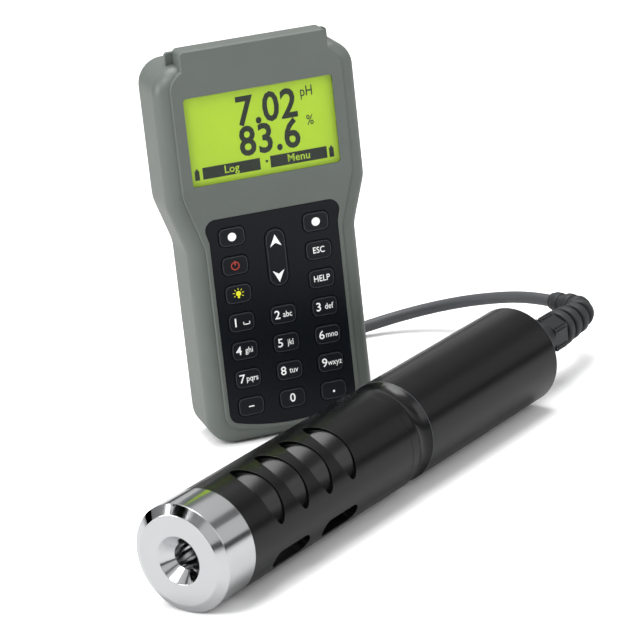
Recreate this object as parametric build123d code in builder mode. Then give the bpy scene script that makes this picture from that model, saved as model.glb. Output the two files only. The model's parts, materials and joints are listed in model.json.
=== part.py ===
"""Portable multiparameter meter standing upright, with its multi-sensor probe lying in front of it.

Millimetres, +Z up. The origin is the middle of the meter's flat foot and the display faces -Y.
Places along the meter's depth are given as "front" values: positive towards the display, 0 at mid depth.
Places along the probe are given as distances from the flat face of its steel end cap.
"""

from build123d import *
import os
from math import cos, pi, radians, sin, tan

# Cells that the case is made around
cell_radius = 7.25
cell_length = 49.2
cell_nub_radius = 2.6
cell_nub_height = 1.3
cell_count = 4
cell_gap = 0.4
contact_radius = 3.2
contact_thickness = 1.0
spring_length = 2.2
tray_wall = 1.2
tray_floor = 1.2
tray_flange_lip = 2.2
tray_flange_thickness = 1.6
tray_clearance = 0.2
tray_half_width = (cell_count * 2 * cell_radius + (cell_count + 1) * cell_gap) / 2 + tray_wall
cell_bay = cell_length + cell_nub_height + spring_length + 2 * contact_thickness
tray_half_height = cell_bay / 2 + tray_wall

# Battery cover, seen from the rear
cover_side_rim = 2.6
cover_end_rim = 10.25
cover_half_width = tray_half_width + cover_side_rim
cover_half_height = tray_half_height + cover_end_rim
cover_corner = 4.0
cover_thickness = 3.2
cover_screw_floor = 1.0
cover_clearance = 0.2
cover_seal_thickness = 0.8
cover_seal_lip = 0.4
cover_seal_width = 1.8
cover_foot = 9.2
battery_middle = cover_foot + cover_half_height
ledge_thickness = 2.4
cover_screw_x = cover_half_width - 6.8
cover_screw_z = cover_half_height - 3.6

# Meter case: its grip goes round the cells, and the places up its height keep their share of it
grip_margin = 8.6
head_flare = 6.7
case_height = 185.0
case_depth = 35.2
hood_rise = 7.0
rise = case_height / 185
grip_half = tray_half_width + grip_margin
head_half = grip_half + head_flare
shoulder_height = case_height - hood_rise
grip_top = 93.0 * rise
head_bottom = 114.5 * rise
foot_radius = 13.0
taper_radius = 18.0
shoulder_radius = 12.0
wall = 3.0
rear_wall = 2.6
front_roll = 7.0
rear_roll = 4.0
cavity_roll = 4.0
split_front = 6.0
front_edge = case_depth / 2
rear_edge = -case_depth / 2
cavity_rear = rear_edge + rear_wall

# Raised face plate and the hood above the display
plate_step = 1.0
plate_side = 6.7
plate_grip_side = 7.6
plate_head_half = head_half - plate_side
plate_grip_half = grip_half - plate_grip_side
plate_grip_top = 94.0 * rise
plate_head_bottom = 119.5 * rise
plate_shoulder = shoulder_height - 7.2
plate_foot = 5.0
plate_foot_bow = 4.5
plate_foot_radius = 8.0
plate_taper_radius = 20.0
plate_edge = 0.5
hood_side = 12.5
hood_half = head_half - hood_side
hood_step = 6.2
hood_corner = 2.0
rib_half = hood_half + 3.5
rib_depth = 3.0
rib_drop = 1.8
rib_corner = 1.5

# Display
window_side = 12.0
window_width = 2 * (head_half - window_side)
window_height = 40.5 * rise
window_middle = 143.8 * rise
window_corner = 1.5
window_lip = 1.1
window_thickness = 1.6
rebate_margin = 2.0
panel_thickness = 1.8
glass_clearance = 0.15

# Keypad
overlay_recess = 0.7
overlay_thickness = 0.5
overlay_top = 107.5 * rise
overlay_top_half = plate_head_half - 6.8
overlay_grip_top = 97.0 * rise
overlay_half = plate_grip_half - 2.0
overlay_foot = 12.0 * rise
overlay_foot_bow = 5.0
overlay_foot_radius = 5.0
overlay_clearance = 0.2
plate_wall = 3.3
key_pitch_x = overlay_half - 10.5
key_pitch_z = 13.4 * rise
first_row = 98.4 * rise
key_width = key_pitch_x - 7.7
key_height = key_pitch_z - 4.8
key_corner = 2.6
key_proud = 0.6
key_crown = 0.35
key_clearance = 0.3
flange_lip = 0.8
flange_thickness = 0.8
key_travel = 0.5
key_stop_margin = 0.15
rocker_width = 9.4
rocker_height = 2 * key_pitch_z + 0.2
rocker_middle = first_row - key_pitch_z + 0.2
rocker_axle_radius = 0.7
rocker_axle_depth = 1.0
rocker_axle_end = 0.5
rocker_back = 0.7
bearing_clearance = 0.05
lug_thickness = 1.8
lug_half_height = 2.2
lug_clearance = 0.1
mat_window_margin = 0.5
mat_thickness = 2.2
mat_half = overlay_half - 1.6
mat_bottom = 10.5 * rise
mat_top = 105.5 * rise

# Main board, screws and seal
board_thickness = 1.6
board_half = grip_half - 4.8
board_bottom = 9.0 * rise
board_top = 164.0 * rise
board_corner = 3.0
board_clearance = 0.5
screw_boss_radius = 3.4
screw_radius = 1.45
screw_hole_radius = 1.5
screw_head_radius = 2.7
screw_head_height = 2.0
screw_head_clearance = 0.15
screw_socket_depth = 5.0
screw_bite = 8.0
top_screw = (head_half - 7.5, 167.5 * rise)
waist_screw = (head_half - 6.5, 119.0 * rise)
grip_screw = (grip_half - 6.8, battery_middle + cover_half_height + 10.2)
case_screw_places = [(side * x, z) for x, z in (top_screw, waist_screw, grip_screw) for side in (-1, 1)]
seal_width = 1.2
seal_inset = 0.9

# Connectors on the deck behind the hood
deck_pocket_half = hood_half - 4.0
deck_pocket_depth = 3.0
deck_thickness = 4.0
deck_wall = 4.0
deck_half = deck_pocket_half + 3.0
deck_corner = 2.0
connector_front = -6.0
socket_x = -12.0
socket_flange_radius = 7.5
socket_flange = 2.0
socket_barrel_radius = 6.4
socket_bore_radius = 5.0
socket_bore_depth = 9.0
socket_length = 18.0
socket_pin_radius = 0.6
socket_pin_circle = 2.6
socket_pin_count = 5
socket_clearance = 0.1
socket_nut_thickness = 3.0
socket_nut_radius = 8.4
usb_x = 12.0
usb_width = 12.0
usb_depth = 6.4
usb_length = 12.0
usb_flange_lip = 1.5
usb_flange = 1.0
usb_mouth_width = 8.4
usb_mouth_depth = 2.6
flap_width = 16.0
flap_length = 11.0
flap_thickness = 1.6
flap_barrel_radius = 1.0
flap_pin_radius = 0.55
flap_lug_thickness = 1.6
flap_hinge_front = 0.6
flap_hinge_height = 1.3
flap_gap = 0.05
flap_lug_gap = 0.2
flap_lug_half = 1.3
flap_overhang = 0.3

# Probe: where it lies and its turned shapes
probe_radius = 23.0
probe_start = Vector(-100.11, -194.03, probe_radius)
probe_angle = 38.26
cap_length = 20.2
cap_bevel = 2.7
cap_face_radius = 19.1
countersink_radius = 10.3
countersink_depth = 4.8
cap_hole_radius = 5.5
shield_wall = 4.0
spigot_length = 8.0
spigot_wall = 3.0
fit_clearance = 0.06
shield_end = 135.75
seam_gap = 0.2
collar_end = shield_end + 5.15
groove_radius = 21.4
groove_middle = collar_end + 4.7
ridge = collar_end + 11.0
body_end = collar_end + 117.2
body_edge = 0.9
nose_start = shield_end - 23.75
nose_bore_radius = 16.0
body_bore_radius = 20.0
body_bore_start = ridge - 1.9

# Openings in the shield, by distance along the probe and angle from straight up
slot_count = 4
slot_first = cap_length + 19.8
slot_pitch = (shield_end - slot_first - 26.95) / slot_count
slot_angle = 40.0
slot_width = slot_pitch - 5.6
slot_chord = 30.2
slot_through = 4.6
slot_step = 0.7
slot_sweep = 100.0
long_slot_angle = 122.0
long_slot_length = (nose_start - cap_length) / 2 - 20.9
long_slots = (cap_length + 15.3 + long_slot_length / 2, nose_start - 16.5 - long_slot_length / 2)
long_slot_width = 9.0

# Sensors
carrier_flange = 4.0
carrier_flange_radius = 17.6
carrier_length = 20.0
carrier_clearance = 0.05
sensor_circle = 9.4
sensor_radius = 7.0
sensor_shank_radius = 5.0
sensor_shank_length = 22.0
sensor_clearance = 0.05
sensor_seal_depth = 2.0
sensor_seal_radius = 6.2
ph_tip = nose_start - 66.0
ph_stem = 8.0
conductivity_tip = nose_start - 60.0
oxygen_tip = nose_start - 54.0
temperature_tip = nose_start - 56.0
sensor_edge = 1.0
temperature_radius = 1.8
probe_board_width = 39.6
probe_board_thickness = 1.6
probe_board_gap = 2.0
probe_board_length = body_end - body_bore_start - 24.1

# Cable outlet
rear_plug_length = 12.0
rear_seal_start = body_end - 9.1
rear_seal_length = 2.0
rear_seal_wall = 1.6
gland_flange_radius = 10.0
gland_flange_length = 4.0
gland_neck_radius = 8.6
gland_thread_radius = 7.5
gland_thread_length = 9.0
gland_spigot_radius = 6.0
nut_start = body_end + 24.1
nut_length = 11.8
nut_flats = 16.8
nut_bevel = 1.0
nut_clearance = 0.05
relief_root_radius = 4.8
relief_root_length = 4.0
relief_straight = 20.3
relief_bend_radius = 18.0
relief_turn = 75.4
relief_tail = 10.5
relief_core_radius = 4.1
relief_ring_count = 7
relief_ring_first = 8.85
relief_ring_last = 4.9
relief_ring_thickness = 4.6
relief_ring_round = 1.2

# Cable, coil and plug
cable_diameter = 6.0
cable_radius = cable_diameter / 2
coil_middle = Vector(17.0, 62.0, 0.0)
coil_layers = 4
coil_rows = 5
coil_inner_turn = 21.0
coil_outer_turn = coil_inner_turn + (coil_layers - 1) * cable_diameter
coil_inner = coil_inner_turn - cable_radius
coil_outer = coil_outer_turn + cable_radius
coil_height = coil_rows * cable_diameter
tie_width = 14.0
tie_thickness = 1.3
tie_angle = 215.0
plug_radius = 9.5
plug_grip_length = 11.0
plug_boot_length = 13.0
plug_boot_radius = 6.0
plug_boot_end_radius = 4.2
plug_start_x = 26.8
plug_circle = 27.0
plug_nose_length = 8.0
plug_lip = 0.8
plug_lip_length = 1.0
plug_nose_radius = 4.9
plug_ring_length = 14.0
plug_ring_wall = 2.2
plug_ring_clearance = 0.06
plug_ring_end_gap = 0.15

probe_heading = Vector(cos(radians(probe_angle)), sin(radians(probe_angle)), 0)
probe_side = Vector(probe_heading.Y, -probe_heading.X, 0)
probe_line = Axis(probe_start, probe_heading)


def depth_plane(front):
    """Plane that faces the display side, at a given place along the meter's depth."""
    return Plane.XZ.offset(front)


def around(angle):
    """Direction away from the probe's axis, turned from straight up towards the viewer's side."""
    return Vector(0, 0, 1) * cos(radians(angle)) + probe_side * sin(radians(angle))


def along(distance):
    """Point on the probe's axis."""
    return probe_start + probe_heading * distance


def section_plane(angle):
    """Plane through the probe's axis: x along the probe, y away from its axis."""
    return Plane(origin=probe_start, x_dir=probe_heading, z_dir=probe_heading.cross(around(angle)))


def cross_plane(distance):
    """Plane across the probe, facing along it."""
    return Plane(origin=along(distance), x_dir=probe_side, z_dir=probe_heading)


def case_outline(front, inset=0.0):
    """Outline of the case seen from the front, moved inwards by the inset."""
    corners = [
        (grip_half, 0),
        (grip_half, grip_top),
        (head_half, head_bottom),
        (head_half, shoulder_height),
        (-head_half, shoulder_height),
        (-head_half, head_bottom),
        (-grip_half, grip_top),
        (-grip_half, 0),
    ]
    one_side = [foot_radius, taper_radius, taper_radius, shoulder_radius]
    with BuildSketch(depth_plane(front)) as outline:
        with BuildLine():
            FilletPolyline(*corners, radius=one_side + one_side[::-1], close=True)
        make_face()
        if inset:
            offset(amount=-inset)
    return outline.sketch


def cavity(rear, front):
    """Inside of the case between two depths, with its edges rolled at the end away from the split."""
    with BuildPart() as space:
        extrude(case_outline(rear, wall), amount=front - rear)
        closed_end = Axis.Y if front > split_front else -Axis.Y
        fillet(space.faces().sort_by(closed_end)[0].edges(), cavity_roll)
    return space.part


def plate_outline(front):
    """Outline of the raised face plate below the hood."""
    corners = [
        (plate_grip_half, plate_foot + plate_foot_bow),
        (plate_grip_half, plate_grip_top),
        (plate_head_half, plate_head_bottom),
        (plate_head_half, plate_shoulder),
        (hood_half, plate_shoulder + hood_step),
        (-hood_half, plate_shoulder + hood_step),
        (-plate_head_half, plate_shoulder),
        (-plate_head_half, plate_head_bottom),
        (-plate_grip_half, plate_grip_top),
        (-plate_grip_half, plate_foot + plate_foot_bow),
    ]
    with BuildSketch(depth_plane(front)) as outline:
        with BuildLine():
            Polyline(*corners)
            ThreePointArc(corners[-1], (0, plate_foot), corners[0])
        make_face()
        foot = outline.vertices().group_by(Axis.Z)[0]
        fillet(foot, plate_foot_radius)
        taper = outline.vertices().filter_by(
            lambda v: abs(v.Z - plate_grip_top) < 0.1 or abs(v.Z - plate_head_bottom) < 0.1
        )
        fillet(taper, plate_taper_radius)
    return outline.sketch


def overlay_outline(front, inset=0.0):
    """Outline of the dark keypad overlay."""
    corners = [
        (overlay_half, overlay_foot),
        (overlay_half, overlay_grip_top),
        (overlay_top_half, overlay_top),
        (-overlay_top_half, overlay_top),
        (-overlay_half, overlay_grip_top),
        (-overlay_half, overlay_foot),
    ]
    with BuildSketch(depth_plane(front)) as outline:
        with BuildLine():
            Polyline(*corners)
            ThreePointArc(corners[-1], (0, overlay_foot - overlay_foot_bow), corners[0])
        make_face()
        fillet(outline.vertices().group_by(Axis.Z)[0], overlay_foot_radius)
        if inset:
            offset(amount=-inset)
    return outline.sketch


def key_shapes(front, margin=0.0, names=None):
    """Rounded key outlines with a margin around them, for all keys or for the named ones."""
    with BuildSketch(depth_plane(front)) as outlines:
        for name, place in key_places.items():
            if names is None or name in names:
                with Locations(place):
                    RectangleRounded(key_width + 2 * margin, key_height + 2 * margin, key_corner + margin)
    return outlines.sketch


def rocker_shape(front, margin=0.0):
    """Oval outline of the up and down rocker with a margin around it."""
    with BuildSketch(depth_plane(front)) as outline:
        with Locations((0, rocker_middle)):
            SlotOverall(rocker_height + 2 * margin, rocker_width + 2 * margin, rotation=90)
    return outline.sketch


def turned(points):
    """Solid of revolution about the probe's axis from (distance, radius) points."""
    with BuildPart() as shape:
        with BuildSketch(section_plane(0)):
            with BuildLine():
                Polyline(*points, close=True)
            make_face()
        revolve(axis=probe_line)
    return shape.part


def turned_about(middle, points):
    """Solid of revolution about an axis along the probe, through a point beside the probe's axis."""
    plane = Plane(origin=middle, x_dir=probe_heading, z_dir=probe_heading.cross(Vector(0, 0, 1)))
    with BuildPart() as shape:
        with BuildSketch(plane):
            with BuildLine():
                Polyline(*points, close=True)
            make_face()
        revolve(axis=Axis(middle, probe_heading))
    return shape.part


def route_radii(points, print_name):
    """Arc radius at each inner point of a cable route, as large as its two runs allow."""
    radii = []
    for before, here, after in zip(points, points[1:], points[2:]):
        run_in = here - before
        run_out = after - here
        half_turn = radians(run_in.get_angle(run_out)) / 2
        radii.append(0.45 * min(run_in.length, run_out.length) / tan(half_turn))
    print(print_name, "arc radii", [round(radius, 1) for radius in radii])
    return radii


def cable_tube(points, print_name):
    """Round cable along straight runs joined by arcs."""
    with BuildPart() as tube:
        with BuildLine() as path:
            FilletPolyline(*points, radius=route_radii(points, print_name))
        start = Plane(origin=points[0], z_dir=points[1] - points[0])
        with BuildSketch(start):
            Circle(cable_radius)
        sweep(path=path.line)
    length = path.wires()[0].length
    print(print_name, "length", round(length, 1), "volume share", tube.part.volume / (pi * cable_radius**2 * length))
    return tube.part


def save(part, name):
    """Label a finished piece and write it to its own file."""
    part.label = name
    export_step(part, f"parts/{name}.step")


os.makedirs("parts", exist_ok=True)

key_rows = (
    ("key_soft_left", None, "key_soft_right"),
    ("key_power", None, "key_escape"),
    ("key_lamp", None, "key_help"),
    ("key_1", "key_2", "key_3"),
    ("key_4", "key_5", "key_6"),
    ("key_7", "key_8", "key_9"),
    ("key_minus", "key_0", "key_point"),
)
key_places = {
    name: ((column - 1) * key_pitch_x, first_row - row * key_pitch_z)
    for row, names in enumerate(key_rows)
    for column, name in enumerate(names)
    if name
}

base_front = front_edge - plate_step
plate_inside = front_edge - plate_wall
mat_rear = plate_inside - mat_thickness
board_rear = mat_rear - board_thickness
deck_top = shoulder_height - deck_pocket_depth
deck_bottom = deck_top - deck_thickness
pocket_front = split_front - rib_depth
pocket_rear = rear_edge + deck_wall
ledge = rear_edge + cover_thickness + cover_seal_thickness
ledge_inside = ledge + ledge_thickness
tray_front = ledge + 2 * cell_radius + cell_gap + tray_floor
screw_floor = cavity_rear + screw_socket_depth
flap_hinge_z = deck_top + flap_hinge_height
lug_x = rocker_width / 2 + key_clearance
lug_back = mat_rear + lug_clearance
axle_front = plate_inside - rocker_axle_depth
axle_half = lug_x + lug_thickness + rocker_axle_end

# Front shell: rolled case half, raised face plate, hood, display window, key openings and screw bosses
with BuildPart() as front_shell:
    extrude(case_outline(split_front), amount=base_front - split_front)
    fillet(front_shell.faces().sort_by(Axis.Y)[0].edges(), front_roll)
    extrude(plate_outline(base_front - front_roll / 2), amount=plate_step + front_roll / 2)
    with BuildSketch(depth_plane(split_front)):
        with Locations((0, (deck_bottom + case_height) / 2)):
            Rectangle(2 * hood_half, case_height - deck_bottom)
    extrude(amount=front_edge - split_front)
    hood_top = front_shell.edges().filter_by(Axis.Y).group_by(Axis.Z)[-1]
    fillet(hood_top, hood_corner)
    plate_rim = front_shell.faces().sort_by(Axis.Y)[0].outer_wire().edges()
    chamfer(plate_rim, plate_edge)
    add(cavity(split_front, plate_inside), mode=Mode.SUBTRACT)
    with BuildSketch(depth_plane(front_edge)):
        with Locations((0, window_middle)):
            RectangleRounded(window_width, window_height, window_corner)
    extrude(amount=-plate_wall, mode=Mode.SUBTRACT)
    with BuildSketch(depth_plane(front_edge - window_lip)):
        with Locations((0, window_middle)):
            RectangleRounded(
                window_width + 2 * rebate_margin, window_height + 2 * rebate_margin, window_corner + rebate_margin
            )
    extrude(amount=-plate_wall, mode=Mode.SUBTRACT)
    extrude(overlay_outline(front_edge), amount=-overlay_recess, mode=Mode.SUBTRACT)
    extrude(key_shapes(front_edge, key_clearance), amount=-plate_wall, mode=Mode.SUBTRACT)
    extrude(rocker_shape(front_edge, key_clearance), amount=-plate_wall, mode=Mode.SUBTRACT)
    with BuildSketch(depth_plane(split_front)):
        with Locations(*case_screw_places):
            Circle(screw_boss_radius)
    extrude(amount=plate_inside - split_front)
    with BuildSketch(depth_plane(split_front)):
        with Locations(*case_screw_places):
            Circle(screw_hole_radius)
    extrude(amount=screw_bite, mode=Mode.SUBTRACT)
    for side in (-1, 1):
        lug_plane = Plane.YZ.offset(side * (lug_x + lug_thickness / 2))
        with BuildSketch(lug_plane):
            with Locations((-(lug_back + plate_inside) / 2, rocker_middle)):
                Rectangle(plate_inside - lug_back, 2 * lug_half_height)
            with Locations((-axle_front, rocker_middle)):
                Circle(rocker_axle_radius + bearing_clearance, mode=Mode.SUBTRACT)
        extrude(amount=lug_thickness / 2, both=True)
save(front_shell.part, "front_shell")

# Seal that lies in a groove in the rear shell's rim
with BuildPart() as case_seal:
    extrude(case_outline(split_front - seal_width, seal_inset), amount=seal_width)
    extrude(case_outline(split_front - seal_width, seal_inset + seal_width), amount=seal_width, mode=Mode.SUBTRACT)
save(case_seal.part, "case_seal")

# Rear shell: case half with the rib behind the hood, connector deck and battery opening
with BuildPart() as rear_shell:
    extrude(case_outline(rear_edge), amount=split_front - rear_edge)
    fillet(rear_shell.faces().sort_by(Axis.Y)[-1].edges(), rear_roll)
    with BuildSketch(depth_plane(pocket_front)):
        with Locations((0, (deck_top + case_height - rib_drop) / 2)):
            Rectangle(2 * rib_half, case_height - rib_drop - deck_top)
    extrude(amount=rib_depth)
    rib_top = rear_shell.edges().filter_by(Axis.Y).group_by(Axis.Z)[-1]
    fillet(rib_top, rib_corner)
    add(cavity(cavity_rear, split_front), mode=Mode.SUBTRACT)
    with BuildSketch(Plane.XY.offset(deck_bottom)):
        with Locations((0, (-pocket_front - cavity_rear) / 2)):
            Rectangle(2 * deck_half, pocket_front - cavity_rear + rear_wall)
    extrude(amount=deck_thickness)
    with BuildSketch(Plane.XY.offset(deck_top)):
        with Locations((0, (-pocket_front - pocket_rear) / 2)):
            RectangleRounded(2 * deck_pocket_half, pocket_front - pocket_rear, deck_corner)
    extrude(amount=case_height, mode=Mode.SUBTRACT)
    with BuildSketch(Plane.XY.offset(deck_bottom)):
        with Locations((socket_x, -connector_front)):
            Circle(socket_barrel_radius + socket_clearance)
        with Locations((usb_x, -connector_front)):
            Rectangle(usb_width + 2 * socket_clearance, usb_depth + 2 * socket_clearance)
    extrude(amount=deck_thickness, mode=Mode.SUBTRACT)
    with BuildSketch(depth_plane(ledge)):
        with Locations((0, battery_middle)):
            RectangleRounded(2 * cover_half_width + wall, 2 * cover_half_height + wall, cover_corner)
    extrude(amount=ledge_thickness)
    with BuildSketch(depth_plane(rear_edge)):
        with Locations((0, battery_middle)):
            RectangleRounded(
                2 * (cover_half_width + cover_clearance), 2 * (cover_half_height + cover_clearance), cover_corner
            )
    extrude(amount=ledge - rear_edge, mode=Mode.SUBTRACT)
    with BuildSketch(depth_plane(rear_edge)):
        with Locations((0, battery_middle)):
            Rectangle(2 * (tray_half_width + tray_clearance), 2 * (tray_half_height + tray_clearance))
    extrude(amount=case_depth / 2, mode=Mode.SUBTRACT)
    cover_screw_places = [
        (side * cover_screw_x, battery_middle + end * cover_screw_z) for side in (-1, 1) for end in (-1, 1)
    ]
    with BuildSketch(depth_plane(ledge)):
        with Locations(*cover_screw_places):
            Circle(screw_boss_radius)
    extrude(amount=screw_bite + ledge_thickness)
    with BuildSketch(depth_plane(ledge)):
        with Locations(*cover_screw_places):
            Circle(screw_hole_radius)
    extrude(amount=screw_bite, mode=Mode.SUBTRACT)
    with BuildSketch(depth_plane(cavity_rear)):
        with Locations(*case_screw_places):
            Circle(screw_head_radius + screw_head_clearance + wall / 2)
    extrude(amount=split_front - cavity_rear)
    with BuildSketch(depth_plane(rear_edge)):
        with Locations(*case_screw_places):
            Circle(screw_head_radius + screw_head_clearance)
    extrude(amount=screw_floor - rear_edge, mode=Mode.SUBTRACT)
    with BuildSketch(depth_plane(rear_edge)):
        with Locations(*case_screw_places):
            Circle(screw_hole_radius)
    extrude(amount=case_depth, mode=Mode.SUBTRACT)
    add(case_seal.part, mode=Mode.SUBTRACT)
    for side in (-1, 1):
        lug_plane = Plane.YZ.offset(usb_x + side * (flap_width / 2 + flap_lug_gap + flap_lug_thickness / 2))
        with BuildSketch(lug_plane):
            with Locations((-flap_hinge_front, deck_top + flap_hinge_height / 2)):
                Rectangle(2 * flap_lug_half, flap_hinge_height)
            with Locations((-flap_hinge_front, flap_hinge_z)):
                Circle(flap_lug_half)
                Circle(flap_pin_radius + bearing_clearance, mode=Mode.SUBTRACT)
        extrude(amount=flap_lug_thickness / 2, both=True)
save(rear_shell.part, "rear_shell")

# Clear window, display panel and the tray behind it, stacked in the window's rebate
glass_width = window_width + 2 * (rebate_margin - glass_clearance)
glass_height = window_height + 2 * (rebate_margin - glass_clearance)
glass_corner = window_corner + rebate_margin - glass_clearance
window_rear = front_edge - window_lip - window_thickness
panel_rear = window_rear - panel_thickness
stack = (
    ("display_window", window_rear, window_thickness),
    ("display_panel", panel_rear, panel_thickness),
    ("backlight_tray", mat_rear, panel_rear - mat_rear),
)
for name, rear, thickness in stack:
    with BuildPart() as layer:
        with BuildSketch(depth_plane(rear)):
            with Locations((0, window_middle)):
                RectangleRounded(glass_width, glass_height, glass_corner)
        extrude(amount=thickness)
    save(layer.part, name)

# Keypad overlay, with an opening for each key
overlay_rear = front_edge - overlay_recess
overlay_front = overlay_rear + overlay_thickness
with BuildPart() as overlay:
    extrude(overlay_outline(overlay_rear, overlay_clearance), amount=overlay_thickness)
    extrude(key_shapes(overlay_rear, key_clearance), amount=overlay_thickness, mode=Mode.SUBTRACT)
    extrude(rocker_shape(overlay_rear, key_clearance), amount=overlay_thickness, mode=Mode.SUBTRACT)
save(overlay.part, "keypad_overlay")

# Keys: each is held by a flange behind the front shell
key_front = overlay_front + key_proud
flange_margin = key_clearance + flange_lip
for name in key_places:
    with BuildPart() as key:
        extrude(key_shapes(plate_inside - flange_thickness, 0, [name]), amount=key_front - plate_inside + flange_thickness)
        fillet(key.faces().sort_by(Axis.Y)[0].edges(), key_crown)
        extrude(key_shapes(plate_inside - flange_thickness, flange_margin, [name]), amount=flange_thickness)
    save(key.part, name)

# Up and down rocker on its axle
with BuildPart() as rocker:
    extrude(rocker_shape(plate_inside - rocker_back), amount=key_front - plate_inside + rocker_back)
    fillet(rocker.faces().sort_by(Axis.Y)[0].edges(), key_crown)
    with BuildSketch(Plane.YZ):
        with Locations((-axle_front, rocker_middle)):
            Circle(rocker_axle_radius)
    extrude(amount=axle_half, both=True)
save(rocker.part, "key_up_down")

# Rubber mat behind the keys, with a pocket under each one
with BuildPart() as mat:
    with BuildSketch(depth_plane(mat_rear)):
        with Locations((0, (mat_bottom + mat_top) / 2)):
            Rectangle(2 * mat_half, mat_top - mat_bottom)
        with Locations((0, rocker_middle)):
            Rectangle(2 * (axle_half + mat_window_margin), rocker_height + 2 * mat_window_margin, mode=Mode.SUBTRACT)
    extrude(amount=mat_thickness)
    pocket_depth = flange_thickness + key_travel + key_stop_margin
    extrude(key_shapes(plate_inside, flange_margin + key_clearance), amount=-pocket_depth, mode=Mode.SUBTRACT)
save(mat.part, "dome_mat")

# Main board between the mat and the battery tray
with BuildPart() as board:
    with BuildSketch(depth_plane(board_rear)):
        with Locations((0, (board_bottom + board_top) / 2)):
            RectangleRounded(2 * board_half, board_top - board_bottom, board_corner)
        with Locations(*case_screw_places):
            Circle(screw_boss_radius + board_clearance, mode=Mode.SUBTRACT)
    extrude(amount=board_thickness)
save(board.part, "main_board")


def screws(places, head_rear, length):
    """Group of screws whose heads face the rear of the meter."""
    with BuildPart() as group:
        with BuildSketch(depth_plane(head_rear)):
            with Locations(*places):
                Circle(screw_head_radius)
                RegularPolygon(screw_radius, 6, mode=Mode.SUBTRACT)
        extrude(amount=screw_head_height / 2)
        with BuildSketch(depth_plane(head_rear + screw_head_height / 2)):
            with Locations(*places):
                Circle(screw_head_radius)
        extrude(amount=screw_head_height / 2)
        with BuildSketch(depth_plane(head_rear + screw_head_height)):
            with Locations(*places):
                Circle(screw_radius)
        extrude(amount=length)
    return group.part


case_screw_length = split_front - screw_floor + screw_bite - screw_head_clearance
save(screws(case_screw_places, screw_floor - screw_head_height, case_screw_length), "case_screws")

# Battery tray, cells and their contacts
with BuildPart() as battery_tray:
    with BuildSketch(depth_plane(ledge)):
        with Locations((0, battery_middle)):
            Rectangle(2 * tray_half_width, 2 * tray_half_height)
    extrude(amount=tray_front - ledge)
    with BuildSketch(depth_plane(ledge_inside)):
        with Locations((0, battery_middle)):
            Rectangle(2 * (tray_half_width + tray_flange_lip), 2 * (tray_half_height + tray_flange_lip))
    extrude(amount=tray_flange_thickness)
    with BuildSketch(depth_plane(ledge)):
        with Locations((0, battery_middle)):
            Rectangle(2 * (tray_half_width - tray_wall), 2 * (tray_half_height - tray_wall))
    extrude(amount=tray_front - tray_floor - ledge, mode=Mode.SUBTRACT)
save(battery_tray.part, "battery_tray")

cell_front = ledge + cell_radius + cell_gap / 2
cell_pitch = 2 * cell_radius + cell_gap
cell_xs = [(index - (cell_count - 1) / 2) * cell_pitch for index in range(cell_count)]
flips = [1 if index % 2 else -1 for index in range(cell_count)]
with BuildPart() as cells:
    for x, flip in zip(cell_xs, flips):
        spring_end = battery_middle - flip * (cell_bay / 2 - contact_thickness - spring_length)
        with BuildSketch(Plane(origin=(x, -cell_front, spring_end), z_dir=(0, 0, flip))):
            Circle(cell_radius)
        extrude(amount=cell_length)
        with BuildSketch(Plane(origin=(x, -cell_front, spring_end + flip * cell_length), z_dir=(0, 0, flip))):
            Circle(cell_nub_radius)
        extrude(amount=cell_nub_height)
save(cells.part, "aa_cells")

with BuildPart() as contacts:
    for x, flip in zip(cell_xs, flips):
        for end in (-1, 1):
            seat = battery_middle + end * cell_bay / 2
            reach = contact_thickness + (spring_length if end == -flip else 0)
            with BuildSketch(Plane(origin=(x, -cell_front, seat), z_dir=(0, 0, -end))):
                Circle(contact_radius)
            extrude(amount=reach)
save(contacts.part, "battery_contacts")

# Battery cover with its seal and screws
with BuildPart() as cover_seal:
    with BuildSketch(depth_plane(ledge - cover_seal_thickness)):
        with Locations((0, battery_middle)):
            seal_half_width = tray_half_width + tray_clearance + cover_seal_lip
            seal_half_height = tray_half_height + tray_clearance + cover_seal_lip
            Rectangle(2 * (seal_half_width + cover_seal_width), 2 * (seal_half_height + cover_seal_width))
            Rectangle(2 * seal_half_width, 2 * seal_half_height, mode=Mode.SUBTRACT)
    extrude(amount=cover_seal_thickness)
save(cover_seal.part, "battery_seal")

with BuildPart() as cover:
    with BuildSketch(depth_plane(rear_edge)):
        with Locations((0, battery_middle)):
            RectangleRounded(2 * cover_half_width, 2 * cover_half_height, cover_corner)
        with Locations(*cover_screw_places):
            Circle(screw_hole_radius, mode=Mode.SUBTRACT)
    extrude(amount=cover_thickness)
    with BuildSketch(depth_plane(rear_edge)):
        with Locations(*cover_screw_places):
            Circle(screw_head_radius + screw_head_clearance)
    extrude(amount=cover_thickness - cover_screw_floor, mode=Mode.SUBTRACT)
save(cover.part, "battery_cover")
cover_screw_head = rear_edge + cover_thickness - cover_screw_floor - screw_head_height
cover_screw_length = ledge - cover_screw_head - screw_head_height + screw_bite - screw_head_clearance
save(screws(cover_screw_places, cover_screw_head, cover_screw_length), "cover_screws")

# Probe socket and its nut
with BuildPart() as socket:
    with BuildSketch(Plane.XY.offset(deck_top)):
        with Locations((socket_x, -connector_front)):
            Circle(socket_flange_radius)
    extrude(amount=socket_flange)
    with BuildSketch(Plane.XY.offset(deck_top)):
        with Locations((socket_x, -connector_front)):
            Circle(socket_barrel_radius)
    extrude(amount=socket_flange - socket_length)
    socket_top = deck_top + socket_flange
    with BuildSketch(Plane.XY.offset(socket_top)):
        with Locations((socket_x, -connector_front)):
            Circle(socket_bore_radius)
            with PolarLocations(socket_pin_circle, socket_pin_count):
                Circle(socket_pin_radius, mode=Mode.SUBTRACT)
    extrude(amount=-socket_bore_depth, mode=Mode.SUBTRACT)
save(socket.part, "probe_socket")

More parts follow.
